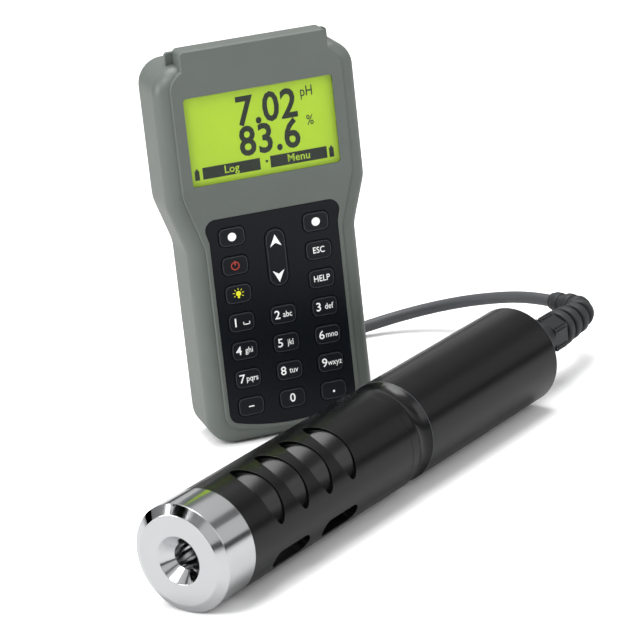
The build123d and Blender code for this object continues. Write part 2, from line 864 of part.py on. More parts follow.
with BuildPart() as socket_nut:
    with BuildSketch(Plane.XY.offset(deck_bottom)):
        with Locations((socket_x, -connector_front)):
            Circle(socket_nut_radius)
            Circle(socket_barrel_radius + bearing_clearance, mode=Mode.SUBTRACT)
    extrude(amount=-socket_nut_thickness)
save(socket_nut.part, "socket_nut")

# USB port and its hinged rubber flap
with BuildPart() as usb_port:
    with BuildSketch(Plane.XY.offset(deck_top)):
        with Locations((usb_x, -connector_front)):
            Rectangle(usb_width, usb_depth)
    extrude(amount=-usb_length)
    with BuildSketch(Plane.XY.offset(deck_top)):
        with Locations((usb_x, -connector_front)):
            Rectangle(usb_width + 2 * usb_flange_lip, usb_depth + 2 * usb_flange_lip)
    extrude(amount=usb_flange)
    with BuildSketch(Plane.XY.offset(deck_top + usb_flange)):
        with Locations((usb_x, -connector_front)):
            Rectangle(usb_mouth_width, usb_mouth_depth)
    extrude(amount=-usb_length / 2, mode=Mode.SUBTRACT)
save(usb_port.part, "usb_port")

flap_bottom = deck_top + usb_flange + flap_gap
flap_reach = flap_hinge_front - connector_front + usb_depth / 2 + usb_flange_lip + flap_overhang
with BuildPart() as flap:
    with BuildSketch(Plane.YZ.offset(usb_x)):
        with Locations((-flap_hinge_front, flap_hinge_z)):
            Circle(flap_barrel_radius)
        with Locations((-flap_hinge_front + flap_reach / 2, flap_bottom + flap_thickness / 2)):
            Rectangle(flap_reach, flap_thickness)
    extrude(amount=flap_width / 2, both=True)
    with BuildSketch(Plane.YZ.offset(usb_x)):
        with Locations((-flap_hinge_front, flap_hinge_z)):
            Circle(flap_pin_radius)
    extrude(amount=flap_width / 2 + flap_lug_gap + flap_lug_thickness, both=True)
save(flap.part, "usb_flap")

# Steel end cap with its countersunk hole and threaded spigot
shield_bore = probe_radius - shield_wall
spigot_radius = shield_bore - fit_clearance
cap_blank = turned([
    (0, countersink_radius),
    (0, cap_face_radius),
    (cap_bevel, probe_radius),
    (cap_length, probe_radius),
    (cap_length, spigot_radius),
    (cap_length + spigot_length, spigot_radius),
    (cap_length + spigot_length, spigot_radius - spigot_wall),
    (cap_length, spigot_radius - spigot_wall),
    (cap_length - spigot_wall, cap_hole_radius),
    (countersink_depth, cap_hole_radius),
])
save(cap_blank, "end_cap")


def cross_slot(middle, angle):
    """Cutter for one oval slot across the shield, whose rear wall slopes up to the surface."""
    outside = probe_radius + shield_wall
    inside = probe_radius - 2 * shield_wall
    rear = middle + slot_width / 2
    front = middle - slot_width / 2
    with BuildPart() as cutter:
        with BuildSketch(section_plane(angle - slot_sweep / 2)):
            with BuildLine():
                Polyline(
                    (front, outside),
                    (rear, outside),
                    (rear, probe_radius - slot_step),
                    (front + slot_through, shield_bore),
                    (front + slot_through, inside),
                    (front, inside),
                    close=True,
                )
            make_face()
        revolve(axis=probe_line, revolution_arc=slot_sweep)
        outline_plane = Plane(origin=along(middle), x_dir=probe_heading, z_dir=around(angle))
        with BuildSketch(outline_plane):
            Ellipse(slot_width / 2, slot_chord / 2)
        extrude(amount=outside, mode=Mode.INTERSECT)
    return cutter.part


def long_slot(middle, angle):
    """Cutter for one slot along the shield."""
    with BuildPart() as cutter:
        with BuildSketch(Plane(origin=along(middle), x_dir=probe_heading, z_dir=around(angle))):
            SlotOverall(long_slot_length, long_slot_width)
        extrude(amount=probe_radius + shield_wall)
    return cutter.part


shield_blank = turned([
    (cap_length, probe_radius),
    (shield_end, probe_radius),
    (shield_end, shield_bore),
    (cap_length, shield_bore),
])
with BuildPart() as shield:
    add(shield_blank)
    for opposite in (0, 180):
        for index in range(slot_count):
            add(cross_slot(slot_first + index * slot_pitch, slot_angle + opposite), mode=Mode.SUBTRACT)
        for middle in long_slots:
            add(long_slot(middle, long_slot_angle + opposite), mode=Mode.SUBTRACT)
save(shield.part, "shield")

# Probe body: nose that the shield slides over, collar, groove and long barrel
collar_start = shield_end + seam_gap
nose_radius = shield_bore - fit_clearance
with BuildPart() as probe_body:
    with BuildSketch(section_plane(0)):
        with BuildLine():
            ThreePointArc((collar_end, probe_radius), (groove_middle, groove_radius), (ridge, probe_radius))
            Polyline(
                (ridge, probe_radius),
                (body_end - body_edge, probe_radius),
                (body_end, probe_radius - body_edge),
                (body_end, body_bore_radius),
                (body_bore_start, body_bore_radius),
                (body_bore_start - body_bore_radius + nose_bore_radius, nose_bore_radius),
                (nose_start, nose_bore_radius),
                (nose_start, nose_radius),
                (collar_start, nose_radius),
                (collar_start, probe_radius),
                (collar_end, probe_radius),
            )
        make_face()
    revolve(axis=probe_line)
save(probe_body.part, "probe_body")

# Sensor carrier and the four sensors
sensor_angles = {"oxygen_sensor": slot_angle, "ph_sensor": slot_angle + 120, "conductivity_sensor": slot_angle + 240}
carrier_front = nose_start - carrier_flange
carrier_rear = nose_start + carrier_length - carrier_flange


def sensor_line(angle):
    """Point level with the probe's front face on the axis of a sensor."""
    return probe_start + around(angle) * sensor_circle


def hole_about(middle, start, end, radius):
    """Cylinder along the probe for a hole or a ring."""
    return turned_about(middle, [(start, 0), (start, radius), (end, radius), (end, 0)])


carrier_blank = turned([
    (carrier_front, 0),
    (carrier_front, carrier_flange_radius),
    (nose_start, carrier_flange_radius),
    (nose_start, nose_bore_radius - carrier_clearance),
    (carrier_rear, nose_bore_radius - carrier_clearance),
    (carrier_rear, 0),
])
seal_end = carrier_front + sensor_seal_depth
with BuildPart() as carrier:
    add(carrier_blank)
    for angle in sensor_angles.values():
        middle = sensor_line(angle)
        shank_hole = hole_about(middle, carrier_front, carrier_rear, sensor_shank_radius + sensor_clearance)
        add(shank_hole, mode=Mode.SUBTRACT)
        add(hole_about(middle, carrier_front, seal_end, sensor_seal_radius), mode=Mode.SUBTRACT)
    temperature_hole = hole_about(probe_start, carrier_front, carrier_rear, temperature_radius + sensor_clearance)
    add(temperature_hole, mode=Mode.SUBTRACT)
save(carrier.part, "sensor_carrier")

with BuildPart() as seals:
    for angle in sensor_angles.values():
        middle = sensor_line(angle)
        add(hole_about(middle, carrier_front, seal_end, sensor_seal_radius))
        add(hole_about(middle, carrier_front, seal_end, sensor_shank_radius), mode=Mode.SUBTRACT)
save(seals.part, "sensor_seals")

shank = [
    (carrier_front, sensor_radius),
    (carrier_front, sensor_shank_radius),
    (carrier_front + sensor_shank_length, sensor_shank_radius),
    (carrier_front + sensor_shank_length, 0),
]
sensor_tips = {
    "ph_sensor": [
        (ph_tip, 0),
        (ph_tip + 0.5, 1.9),
        (ph_tip + 2, 3.3),
        (ph_tip + 4.5, 3.7),
        (ph_tip + 6.5, 2.6),
        (ph_tip + ph_stem, 2.4),
        (ph_tip + ph_stem, sensor_radius - sensor_edge),
        (ph_tip + ph_stem + sensor_edge, sensor_radius),
    ],
    "conductivity_sensor": [
        (conductivity_tip, 0),
        (conductivity_tip, sensor_radius - sensor_edge),
        (conductivity_tip + sensor_edge, sensor_radius),
    ],
    "oxygen_sensor": [
        (oxygen_tip, 0),
        (oxygen_tip, sensor_radius - sensor_edge),
        (oxygen_tip + sensor_edge, sensor_radius),
    ],
}
for name, tip in sensor_tips.items():
    save(turned_about(sensor_line(sensor_angles[name]), tip + shank), name)
temperature_points = [
    (temperature_tip, 0),
    (temperature_tip + temperature_radius, temperature_radius),
    (carrier_rear, temperature_radius),
    (carrier_rear, 0),
]
save(turned(temperature_points), "temperature_sensor")

# Board inside the probe, held by the barrel's bore
with BuildPart() as probe_board:
    with BuildSketch(cross_plane(body_bore_start + probe_board_gap)):
        Rectangle(probe_board_thickness, probe_board_width)
    extrude(amount=probe_board_length)
save(probe_board.part, "probe_board")

# Rear plug with its seal
plug_seat = body_end - rear_plug_length
plug_fit_radius = body_bore_radius - fit_clearance
seal_floor = plug_fit_radius - rear_seal_wall
rear_seal_end = rear_seal_start + rear_seal_length
rear_plug = turned([
    (plug_seat, gland_spigot_radius + fit_clearance),
    (plug_seat, plug_fit_radius),
    (rear_seal_start, plug_fit_radius),
    (rear_seal_start, seal_floor),
    (rear_seal_end, seal_floor),
    (rear_seal_end, plug_fit_radius),
    (body_end, plug_fit_radius),
    (body_end, gland_spigot_radius + fit_clearance),
])
save(rear_plug, "rear_plug")
rear_seal = turned([
    (rear_seal_start, seal_floor),
    (rear_seal_start, plug_fit_radius),
    (rear_seal_end, plug_fit_radius),
    (rear_seal_end, seal_floor),
])
save(rear_seal, "rear_seal")

# Cable gland, its hexagonal nut and the ribbed bend relief
flange_end = body_end + gland_flange_length
thread_end = nut_start + gland_thread_length
nut_end = nut_start + nut_length
gland_body = turned([
    (plug_seat, 0),
    (plug_seat, gland_spigot_radius),
    (body_end, gland_spigot_radius),
    (body_end, gland_flange_radius),
    (flange_end, gland_flange_radius),
    (flange_end, gland_neck_radius),
    (nut_start, gland_neck_radius),
    (nut_start, gland_thread_radius),
    (thread_end, gland_thread_radius),
    (thread_end, 0),
])
save(gland_body, "gland_body")

with BuildPart() as gland_nut:
    with BuildSketch(cross_plane(nut_start)):
        RegularPolygon(nut_flats / 2, 6, major_radius=False, rotation=30)
    extrude(amount=nut_length)
    chamfer(gland_nut.faces().sort_by(probe_line)[-1].edges(), nut_bevel)
    with BuildSketch(cross_plane(nut_start)):
        Circle(gland_thread_radius + nut_clearance)
    extrude(amount=gland_thread_length + nut_clearance, mode=Mode.SUBTRACT)
    with BuildSketch(cross_plane(nut_start)):
        Circle(relief_root_radius + nut_clearance)
    extrude(amount=nut_length, mode=Mode.SUBTRACT)
save(gland_nut.part, "gland_nut")

relief_start = along(nut_end)
relief_centre = relief_start + probe_heading * relief_straight - probe_side * relief_bend_radius
relief_length = relief_straight + relief_bend_radius * radians(relief_turn) + relief_tail


def relief_place(distance):
    """Point and heading at a distance along the middle of the bend relief."""
    bent = min(max(distance - relief_straight, 0) / relief_bend_radius, radians(relief_turn))
    heading = probe_heading.rotate(Axis.Z, bent * 180 / pi)
    if bent == 0:
        return relief_start + probe_heading * distance, heading
    outward = probe_side.rotate(Axis.Z, bent * 180 / pi)
    beyond = max(distance - relief_length + relief_tail, 0)
    return relief_centre + outward * relief_bend_radius + heading * beyond, heading


bend_start = relief_place(relief_straight)[0]
bend_middle = relief_place(relief_straight + relief_bend_radius * radians(relief_turn) / 2)[0]
bend_end = relief_place(relief_length - relief_tail)[0]
relief_end = relief_place(relief_length)[0]
with BuildPart() as relief:
    with BuildLine() as relief_path:
        Line(along(thread_end), bend_start)
        ThreePointArc(bend_start, bend_middle, bend_end)
        Line(bend_end, relief_end)
    with BuildSketch(cross_plane(thread_end)):
        Circle(relief_core_radius)
    sweep(path=relief_path.line)
    with BuildSketch(cross_plane(thread_end)):
        Circle(relief_root_radius)
    extrude(amount=nut_end - thread_end)
    ring_pitch = relief_length / relief_ring_count
    for index in range(relief_ring_count):
        share = index / (relief_ring_count - 1)
        ring_radius = relief_ring_first + (relief_ring_last - relief_ring_first) * share
        middle, heading = relief_place((index + 0.5) * ring_pitch)
        ring_plane = Plane(origin=middle - heading * (relief_ring_thickness / 2), z_dir=heading)
        with BuildPart(mode=Mode.PRIVATE) as ring:
            with BuildSketch(ring_plane):
                Circle(ring_radius)
            extrude(amount=relief_ring_thickness)
            fillet(ring.edges(), relief_ring_round)
        add(ring.part)
save(relief.part, "strain_relief")
print("relief ends at", relief_end, "probe length", round(nut_end + relief_length, 1))

# Cable from the relief down to the floor and behind the meter into the coil
coil_back = coil_middle + Vector(0, coil_outer_turn, cable_radius)
cable_route = [
    relief_end,
    Vector(143.4, 41.6, 22.6),
    Vector(137.9, 53.6, 21.2),
    Vector(130.6, 65.9, 18.9),
    Vector(119.4, 80.2, 15.5),
    Vector(105.6, 92.3, 11.5),
    Vector(88.6, 100.6, 7.5),
    Vector(70.9, 102.8, 4.4),
    Vector(53.0, 102.2, 3.3),
    Vector(35.0, 101.3, 3.05),
    coil_back,
]
save(cable_tube(cable_route, "probe_cable"), "probe_cable")

# Coil of the remaining length, with its tie
with BuildPart() as coil:
    with BuildSketch(Plane.XY.offset(coil_middle.Z)):
        with Locations((coil_middle.X, coil_middle.Y)):
            Circle(coil_outer)
            Circle(coil_inner, mode=Mode.SUBTRACT)
    extrude(amount=coil_height)
save(coil.part, "cable_coil")

tie_out = Vector(cos(radians(tie_angle)), sin(radians(tie_angle)), 0)
tie_middle = coil_middle + tie_out * (coil_inner + coil_outer) / 2 + Vector(0, 0, (coil_height + tie_thickness) / 2)
with BuildPart() as tie:
    with BuildSketch(Plane(origin=tie_middle, x_dir=tie_out, z_dir=tie_out.cross(Vector(0, 0, 1)))):
        Rectangle(coil_outer - coil_inner + 2 * tie_thickness, coil_height + tie_thickness)
        Rectangle(coil_outer - coil_inner, coil_height - tie_thickness, mode=Mode.SUBTRACT)
    extrude(amount=tie_width / 2, both=True)
save(tie.part, "cable_tie")

# Plug lying on the coil, with its lock ring
plug_height = coil_height + plug_radius
plug_boot = coil_middle + Vector(plug_start_x - coil_middle.X, plug_circle, plug_height)
tail_route = [
    coil_middle + Vector(31.0, -10.8, coil_height - cable_radius),
    coil_middle + Vector(34.4, -4.4, 28.2),
    coil_middle + Vector(36.5, 4.9, 30.4),
    coil_middle + Vector(35.1, 14.4, 33.4),
    coil_middle + Vector(29.1, 22.7, 36.8),
    coil_middle + Vector(19.9, 27.1, 39.2),
    plug_boot,
]
save(cable_tube(tail_route, "cable_tail"), "cable_tail")

ring_seat_radius = plug_radius - plug_ring_wall
grip_end = plug_boot_length + plug_grip_length
ring_room = plug_ring_length + 2 * plug_ring_end_gap
lip_end = grip_end + ring_room + plug_lip_length
plug_plane = Plane(origin=plug_boot, x_dir=(-1, 0, 0), z_dir=(0, 1, 0))
plug_line = Axis(plug_boot, (-1, 0, 0))
with BuildPart() as plug:
    with BuildSketch(plug_plane):
        with BuildLine():
            Polyline(
                (0, 0),
                (0, plug_boot_end_radius),
                (plug_boot_length, plug_boot_radius),
                (plug_boot_length, plug_radius),
                (grip_end, plug_radius),
                (grip_end, ring_seat_radius),
                (grip_end + ring_room, ring_seat_radius),
                (grip_end + ring_room, ring_seat_radius + plug_lip),
                (lip_end, ring_seat_radius + plug_lip),
                (lip_end, plug_nose_radius),
                (lip_end + plug_nose_length, plug_nose_radius),
                (lip_end + plug_nose_length, 0),
                close=True,
            )
        make_face()
    revolve(axis=plug_line)
save(plug.part, "plug_body")

ring_start = grip_end + plug_ring_end_gap
with BuildPart() as lock_ring:
    with BuildSketch(plug_plane):
        with BuildLine():
            Polyline(
                (ring_start, ring_seat_radius + plug_ring_clearance),
                (ring_start, plug_radius),
                (ring_start + plug_ring_length, plug_radius),
                (ring_start + plug_ring_length, ring_seat_radius + plug_ring_clearance),
                close=True,
            )
        make_face()
    revolve(axis=plug_line)
save(lock_ring.part, "plug_lock_ring")
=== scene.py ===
"""Looks of a portable multiparameter meter with its probe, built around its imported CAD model.

The frame is the CAD's: the meter stands on z = 0 with its display towards -Y, and the probe lies
in front of it. Sizes and places of pieces are written in millimetres and made in metres.
"""

import json
import logging
import math
from dataclasses import dataclass
from enum import Enum

import bpy
from mathutils import Matrix, Vector


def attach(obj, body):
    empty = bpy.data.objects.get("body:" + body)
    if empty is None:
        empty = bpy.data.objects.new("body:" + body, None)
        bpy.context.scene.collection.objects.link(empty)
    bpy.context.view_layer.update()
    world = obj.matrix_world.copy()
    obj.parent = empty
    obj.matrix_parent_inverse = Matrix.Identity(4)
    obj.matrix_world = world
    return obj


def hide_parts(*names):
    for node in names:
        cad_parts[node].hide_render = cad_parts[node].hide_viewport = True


log = logging.getLogger("meter")
Point = tuple[float, float, float]

MM = 0.001
WHITE = (1, 1, 1, 1)
# How thick printed shapes are, and how far printed words stand out to each side, in millimetres.
PRINT_DEPTH = 0.04
WORD_HALF_DEPTH = 0.02
# Sockets of a colour mix: its two colours going in, and its colour coming out.
MIX_FIRST, MIX_SECOND, MIX_RESULT = 6, 7, 2


class Surface(Enum):
    """Kinds of surface, by the scale of the grain that their bump takes."""

    POLISHED = 300.0
    MOULDED = 1400.0
    RUBBERY = 2600.0


@dataclass(frozen=True)
class Finish:
    """How one material looks.

    Attributes:
        colour: in sRGB, each part from 0 to 255.
        roughness: from 0 to 1.
        metallic: from 0 to 1.
        surface: kind of surface, for the scale of its grain.
        grain: depth of the grain, in metres.
        wander: how much the tone changes over the surface, as a share.
        glow: strength of its own light.
        shine: level of its mirrored light.
        edge: radius that its edges look softened by, in metres; 0 leaves edge and grain out.
    """

    colour: tuple[int, int, int]
    roughness: float = 0.45
    metallic: float = 0.0
    surface: Surface = Surface.MOULDED
    grain: float = 0.000012
    wander: float = 0.06
    glow: float = 0.0
    shine: float = 0.5
    edge: float = 0.0003


FINISHES = {
    "case_plastic": Finish((86, 92, 88), 0.42),
    "seal_rubber": Finish((30, 31, 32), 0.6, surface=Surface.RUBBERY),
    "display_film": Finish((158, 190, 16), 0.55, shine=0.3, glow=0.12, grain=0.0, wander=0.04),
    "white_plastic": Finish((225, 226, 222), 0.4),
    "overlay_film": Finish((14, 18, 23), 0.34, shine=0.2, grain=0.000006),
    "key_rubber": Finish((16, 20, 25), 0.4, shine=0.22, surface=Surface.RUBBERY, grain=0.000006),
    "mat_rubber": Finish((36, 38, 40), 0.65, surface=Surface.RUBBERY),
    "board_green": Finish((24, 84, 48), 0.4),
    "screw_steel": Finish((188, 190, 192), 0.28, 1.0),
    "tray_plastic": Finish((40, 42, 44), 0.5),
    "cell_metal": Finish((196, 170, 92), 0.3, 0.9),
    "contact_metal": Finish((214, 212, 204), 0.25, 1.0),
    "connector_plastic": Finish((34, 35, 37), 0.4),
    "cap_steel": Finish(
        (214, 215, 217), 0.13, 1.0, surface=Surface.POLISHED, grain=0.000002, wander=0.02
    ),
    "probe_plastic": Finish((6, 6, 7), 0.25, shine=0.32, grain=0.000008),
    "sensor_plastic": Finish((38, 72, 130), 0.35),
    "probe_steel": Finish((205, 206, 208), 0.16, 1.0),
    "gland_plastic": Finish((30, 32, 34), 0.4, shine=0.35, grain=0.000009),
    "relief_rubber": Finish((38, 40, 42), 0.5, shine=0.35, surface=Surface.RUBBERY),
    "cable_jacket": Finish((66, 67, 70), 0.5, surface=Surface.RUBBERY),
    "tie_fabric": Finish((24, 24, 26), 0.85, surface=Surface.RUBBERY, grain=0.00008, wander=0.2),
    "plug_plastic": Finish((36, 37, 39), 0.42),
    "plug_ring_metal": Finish((176, 178, 180), 0.25, 1.0),
    "legend_white": Finish((238, 240, 240), 0.5, grain=0.0, edge=0.0),
    "legend_red": Finish((188, 62, 46), 0.5, grain=0.0, edge=0.0),
    "legend_yellow": Finish((226, 224, 30), 0.5, grain=0.0, edge=0.0),
    # Painted highlight: the lighter grey of the fine lines along the keys' edges and at the probe
    # body's two end edges, where light catches those edges.
    "highlight_grey": Finish((66, 71, 77), 0.45, grain=0.0, edge=0.0),
    "pixel_dark": Finish((14, 28, 14), 0.6, shine=0.15, grain=0.0, edge=0.0),
}


def linear(colour: tuple[int, int, int]) -> tuple[float, float, float, float]:
    """Linear colour for a shader.

    Args:
        colour: in sRGB, each part from 0 to 255.

    Returns:
        The same colour in linear light, with full alpha.
    """
    shares = [c / 255 for c in colour]
    return (*[s / 12.92 if s <= 0.04045 else ((s + 0.055) / 1.055) ** 2.4 for s in shares], 1.0)


def toned(colour: tuple, share: float) -> tuple:
    """A linear colour made darker or lighter by a factor, with full alpha."""
    return tuple(c * share for c in colour[:3]) + (1.0,)


class Value:
    """A number in a shader, with arithmetic written as operators."""

    def __init__(self, graph: "Graph", socket) -> None:
        self.graph = graph
        self.socket = socket

    def _do(self, operation: str, *others) -> "Value":
        """One step of arithmetic on numbers, sockets or Values, in the order given."""
        node = self.graph.make("ShaderNodeMath", {"operation": operation}, dict(enumerate(others)))
        return Value(self.graph, node.outputs[0])

    def __add__(self, other) -> "Value":
        return self._do("ADD", self, other)

    def __radd__(self, other) -> "Value":
        return self._do("ADD", other, self)

    def __sub__(self, other) -> "Value":
        return self._do("SUBTRACT", self, other)

    def __rsub__(self, other) -> "Value":
        return self._do("SUBTRACT", other, self)

    def __mul__(self, other) -> "Value":
        return self._do("MULTIPLY", self, other)

    def __rmul__(self, other) -> "Value":
        return self._do("MULTIPLY", other, self)

    def between(self, low: float, high: float) -> "Value":
        """1 where the value lies between two limits, and 0 elsewhere."""
        return self._do("GREATER_THAN", self, low) * self._do("LESS_THAN", self, high)


class Graph:
    """Nodes of one material or world."""

    def __init__(self, owner) -> None:
        owner.use_nodes = True
        self.tree = owner.node_tree
        self.tree.nodes.clear()

    def make(self, kind: str, settings: dict, inputs: dict):
        """Adds a node.

        Args:
            kind: Blender's node type.
            settings: properties of the node.
            inputs: sockets by name or number, each a plain value, a socket or a Value.

        Returns:
            The node.
        """
        node = self.tree.nodes.new(kind)
        for name, value in settings.items():
            setattr(node, name, value)
        for name, value in inputs.items():
            value = value.socket if isinstance(value, Value) else value
            if isinstance(value, bpy.types.NodeSocket):
                self.tree.links.new(value, node.inputs[name])
            else:
                node.inputs[name].default_value = value
        return node

    def mix(self, share, first, second):
        """Mixes two shader nodes: only the first where the share is 0, only the second at 1."""
        shaders = {0: share, 1: first.outputs[0], 2: second.outputs[0]}
        return self.make("ShaderNodeMixShader", {}, shaders)

    def value(self, node, output: int | str = 0) -> Value:
        """One output of a node as a number."""
        return Value(self, node.outputs[output])

    def end(self, kind: str, shader) -> None:
        """Connects the last shader node to the output."""
        self.make(kind, {}, {"Surface": shader.outputs[0]})


def paint(name: str, finish: Finish) -> bpy.types.Material:
    """Material whose tone wanders a little; one with soft edges gets a fine grain too.

    Args:
        name: the material's name.
        finish: how it looks.

    Returns:
        The material.
    """
    cloud_scale, rough_wander, bump_strength = 55.0, 0.25, 0.6
    material = bpy.data.materials.new(name)
    graph = Graph(material)
    place = graph.make("ShaderNodeTexCoord", {}, {}).outputs["Object"]
    cloud = graph.make(
        "ShaderNodeTexNoise", {}, {"Vector": place, "Scale": cloud_scale, "Detail": 3.0}
    )
    tone = linear(finish.colour)
    tones = {
        0: cloud.outputs[0],
        MIX_FIRST: toned(tone, 1 - finish.wander * 2),
        MIX_SECOND: toned(tone, 1 + finish.wander),
    }
    colour = graph.make("ShaderNodeMix", {"data_type": "RGBA"}, tones).outputs[MIX_RESULT]
    rough = (graph.value(cloud) - 0.5) * (rough_wander * finish.roughness) + finish.roughness
    inputs = {
        "Base Color": colour,
        "Roughness": rough,
        "Metallic": finish.metallic,
        "Specular IOR Level": finish.shine,
    }
    if finish.edge:
        scale = finish.surface.value
        grain = graph.make(
            "ShaderNodeTexNoise", {}, {"Vector": place, "Scale": scale, "Detail": 2.0}
        )
        soft = graph.make("ShaderNodeBevel", {"samples": 6}, {"Radius": finish.edge})
        relief = {
            "Strength": bump_strength,
            "Distance": finish.grain,
            "Height": grain.outputs[0],
            "Normal": soft.outputs[0],
        }
        inputs["Normal"] = graph.make("ShaderNodeBump", {}, relief).outputs[0]
    if finish.glow:
        inputs["Emission Color"] = colour
        inputs["Emission Strength"] = finish.glow
    graph.end("ShaderNodeOutputMaterial", graph.make("ShaderNodeBsdfPrincipled", {}, inputs))
    return material


def clear_window() -> bpy.types.Material:
    """Thin clear plastic: what lies behind shows through under a faint reflection."""
    tint, roughness, reflection = (0.97, 0.98, 0.97, 1), 0.06, 0.05
    material = bpy.data.materials.new("window_clear")
    graph = Graph(material)
    clear = graph.make("ShaderNodeBsdfTransparent", {}, {"Color": tint})
    shine = graph.make("ShaderNodeBsdfGlossy", {}, {"Roughness": roughness})
    graph.end("ShaderNodeOutputMaterial", graph.mix(reflection, clear, shine))
    return material


class Paints:
    """All materials, made when first asked for."""

    def __init__(self) -> None:
        self.made: dict[str, bpy.types.Material] = {}

    def __call__(self, name: str) -> bpy.types.Material:
        """The material of a name out of FINISHES, or the clear window's."""
        if name not in self.made:
            clear = name == "window_clear"
            self.made[name] = clear_window() if clear else paint(name, FINISHES[name])
        return self.made[name]


def facing(x: float, front: float, z: float) -> Matrix:
    """Place for a flat shape drawn facing +Z, so that it faces the display's side.

    Args:
        x: across, in millimetres.
        front: how far out towards the display's side, in millimetres.
        z: height, in millimetres.

    Returns:
        The place, in metres.
    """
    upright = Matrix.Rotation(math.radians(90), 4, "X")
    return Matrix.Translation((x * MM, -front * MM, z * MM)) @ upright


def turned(degrees: float) -> Matrix:
    """Turn of a flat shape in its own plane."""
    return Matrix.Rotation(math.radians(degrees), 4, "Z")


def add_curve(kind: str, points: list[Point]) -> bpy.types.Spline:
    """Adds a curve object with one spline and makes it the active object.

    Args:
        kind: Blender's spline type.
        points: the spline's control points, in millimetres.

    Returns:
        The spline.
    """
    bpy.ops.object.select_all(action="DESELECT")
    bpy.ops.curve.primitive_nurbs_path_add()
    data = bpy.context.object.data
    data.splines.clear()
    spline = data.splines.new(kind)
    spline.points.add(len(points) - 1)
    for point, (x, y, z) in zip(spline.points, points):
        point.co = (x * MM, y * MM, z * MM, 1)
    return spline


@dataclass(frozen=True)
class Ink:
    """What an added piece looks like and belongs to.

    Attributes:
        finish: one of FINISHES.
        slot: the record's material slot; not used.
        body: the CAD body that the piece moves with.
    """

    finish: str
    slot: str
    body: str


class Maker:
    """Makes new pieces with Blender's own tools, each with its vertices in the CAD's frame.

    Sizes and places are in millimetres, and a print's place is x, how far out, and z.

    Attributes:
        weld: distance below which vertices become one, in metres.
        letter_spread: how much a letter's boldness widens the gaps between letters.
    """

    weld = 1e-7
    letter_spread = 2.2

    def __init__(self, paints: Paints) -> None:
        self.paints = paints

    def settle(self, name: str, ink: Ink, place: Matrix) -> bpy.types.Object:
        """Turns the active object into a mesh at its place, and names, paints and binds it.

        Args:
            name: the piece's name.
            ink: its finish, slot and body.
            place: where the shape goes.

        Returns:
            The piece.
        """
        if bpy.context.object.type != "MESH":
            bpy.ops.object.convert(target="MESH")
        piece = bpy.context.object
        piece.data.transform(place @ piece.matrix_world)
        piece.matrix_world = Matrix.Identity(4)
        bpy.ops.object.mode_set(mode="EDIT")
        bpy.ops.mesh.select_all(action="SELECT")
        bpy.ops.mesh.remove_doubles(threshold=self.weld)
        bpy.ops.mesh.normals_make_consistent(inside=False)
        bpy.ops.object.mode_set(mode="OBJECT")
        piece.name = piece.data.name = name
        piece.data.materials.clear()
        piece.data.materials.append(self.paints(ink.finish))
        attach(piece, ink.body)
        log.info("made %s", name)
        return piece

    def text(
        self, name: str, words: str, size: float, at: Point, ink: Ink,
        bold: float = 0.0, narrow: float = 1.0,
    ) -> bpy.types.Object:
        """Printed words.

        Args:
            name: the piece's name.
            words: what they say.
            size: letter size.
            at: their middle.
            ink: finish, slot and body.
            bold: how far every letter's outline is moved outwards.
            narrow: factor on the width.

        Returns:
            The piece.
        """
        bpy.ops.object.select_all(action="DESELECT")
        bpy.ops.object.text_add()
        data = bpy.context.object.data
        data.body = words
        data.size = size * MM
        data.align_x, data.align_y = "CENTER", "CENTER"
        data.offset = bold * MM
        data.extrude = WORD_HALF_DEPTH * MM
        data.resolution_u = 3
        data.space_character = 1.0 + self.letter_spread * bold / size
        return self.settle(name, ink, facing(*at) @ Matrix.Diagonal((narrow, 1, 1, 1)))

    def plate(
        self, name: str, width: float, height: float, at: Point, ink: Ink, tilt: float = 0.0
    ) -> bpy.types.Object:
        """Thin printed bar, turned in its plane by a tilt in degrees."""
        bpy.ops.object.select_all(action="DESELECT")
        bpy.ops.mesh.primitive_cube_add(size=1)
        size = Matrix.Diagonal((width * MM, height * MM, PRINT_DEPTH * MM, 1))
        return self.settle(name, ink, facing(*at) @ (turned(tilt) @ size))

    def disc(
        self, name: str, radius: float, at: Point, ink: Ink, sides: int = 40, tilt: float = 0.0
    ) -> bpy.types.Object:
        """Thin printed disc or regular polygon, turned in its plane by a tilt in degrees."""
        bpy.ops.object.select_all(action="DESELECT")
        bpy.ops.mesh.primitive_cylinder_add(
            vertices=sides, radius=radius * MM, depth=PRINT_DEPTH * MM
        )
        return self.settle(name, ink, facing(*at) @ turned(tilt))

    def ring(
        self, name: str, radius: float, wire: float, place: Matrix, ink: Ink
    ) -> bpy.types.Object:
        """Ring of round wire; radius is the ring's and wire the wire's own radius."""
        bpy.ops.object.select_all(action="DESELECT")
        bpy.ops.mesh.primitive_torus_add(
            major_radius=radius * MM, minor_radius=wire * MM, major_segments=72, minor_segments=8
        )
        return self.settle(name, ink, place)

    def outline(
        self, name: str, width: float, height: float, corner: float, line: float,
        at: Point, ink: Ink,
    ) -> bpy.types.Object:
        """Thin printed outline of a rounded rectangle.

        Args:
            name: the piece's name.
            width: across, to the middle of the line.
            height: up and down, to the middle of the line.
            corner: radius of the corners.
            line: width of the line.
            at: the rectangle's middle.
            ink: finish, slot and body.

        Returns:
            The piece.
        """
        corner_steps, flatness = 6, 0.15
        points = []
        for index, (sx, sy) in enumerate(((1, 1), (-1, 1), (-1, -1), (1, -1))):
            for step in range(corner_steps + 1):
                turn = math.radians(90 * index + 90 / corner_steps * step)
                x = sx * (width / 2 - corner) + corner * math.cos(turn)
                y = sy * (height / 2 - corner) + corner * math.sin(turn)
                points.append((x, y, 0))
        add_curve("POLY", points).use_cyclic_u = True
        data = bpy.context.object.data
        data.bevel_depth = line * MM / 2
        data.bevel_resolution = 1
        return self.settle(name, ink, facing(*at) @ Matrix.Diagonal((1, 1, flatness, 1)))


